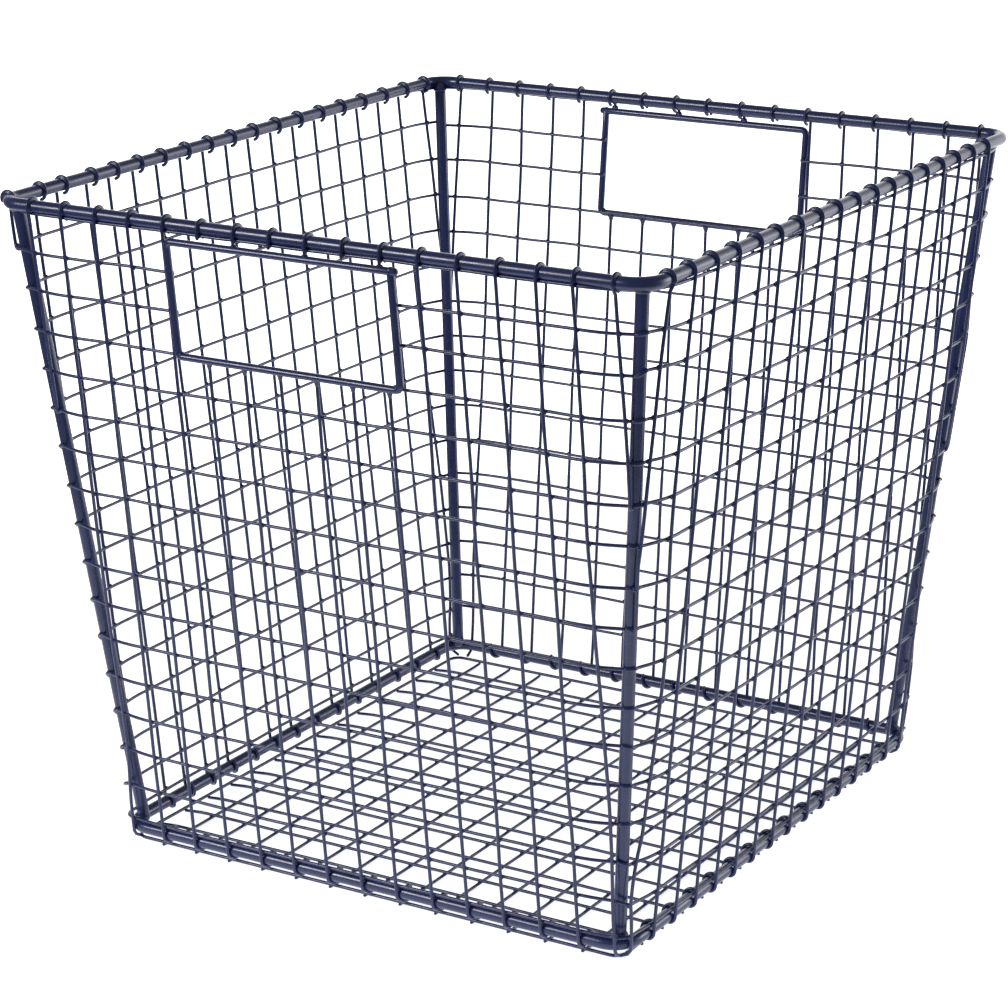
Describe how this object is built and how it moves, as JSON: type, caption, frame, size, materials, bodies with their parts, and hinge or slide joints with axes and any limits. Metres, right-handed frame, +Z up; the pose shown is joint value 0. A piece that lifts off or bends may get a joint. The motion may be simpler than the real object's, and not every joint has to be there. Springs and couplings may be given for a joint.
{
  "type": "wire storage basket",
  "caption": "Tapered rectangular storage basket of welded wire mesh on a bent rod frame, open at the top, with a handle opening in its front and back.",
  "frame": {"origin": "middle of the plane that the floor wires stand on", "axes": "+Z up, -Y towards the front handle opening, +X to the right seen from the front"},
  "size_m": [0.3442, 0.3786, 0.3235],
  "materials": {
    "coated_rod": "satin navy powder coat on steel rod",
    "coated_wire": "satin navy powder coat on steel wire"
  },
  "bodies": {
    "root": {"rim_ring": "coated_rod", "corner_post_front_right": "coated_rod", "corner_post_back_right": "coated_rod", "corner_post_back_left": "coated_rod", "corner_post_front_left": "coated_rod", "base_ring": "coated_rod", "front_handle_frame": "coated_rod", "back_handle_frame": "coated_rod", "front_uprights_left": "coated_wire", "front_uprights_middle": "coated_wire", "front_uprights_right": "coated_wire", "front_rim_stubs": "coated_wire", "back_uprights_left": "coated_wire", "back_uprights_middle": "coated_wire", "back_uprights_right": "coated_wire", "back_rim_stubs": "coated_wire", "right_uprights": "coated_wire", "left_uprights": "coated_wire", "row_wire_01_right": "coated_wire", "row_wire_01_left": "coated_wire", "row_wire_02_right": "coated_wire", "row_wire_02_left": "coated_wire", "row_wire_03": "coated_wire", "row_wire_04": "coated_wire", "row_wire_05": "coated_wire", "row_wire_06": "coated_wire", "row_wire_07": "coated_wire", "row_wire_08": "coated_wire", "row_wire_09": "coated_wire", "row_wire_10": "coated_wire", "row_wire_11": "coated_wire", "row_wire_12": "coated_wire", "row_wire_13": "coated_wire", "row_wire_14": "coated_wire", "row_wire_15": "coated_wire", "floor_long_wires": "coated_wire", "floor_cross_wires": "coated_wire"}
  },
  "joints": []
}
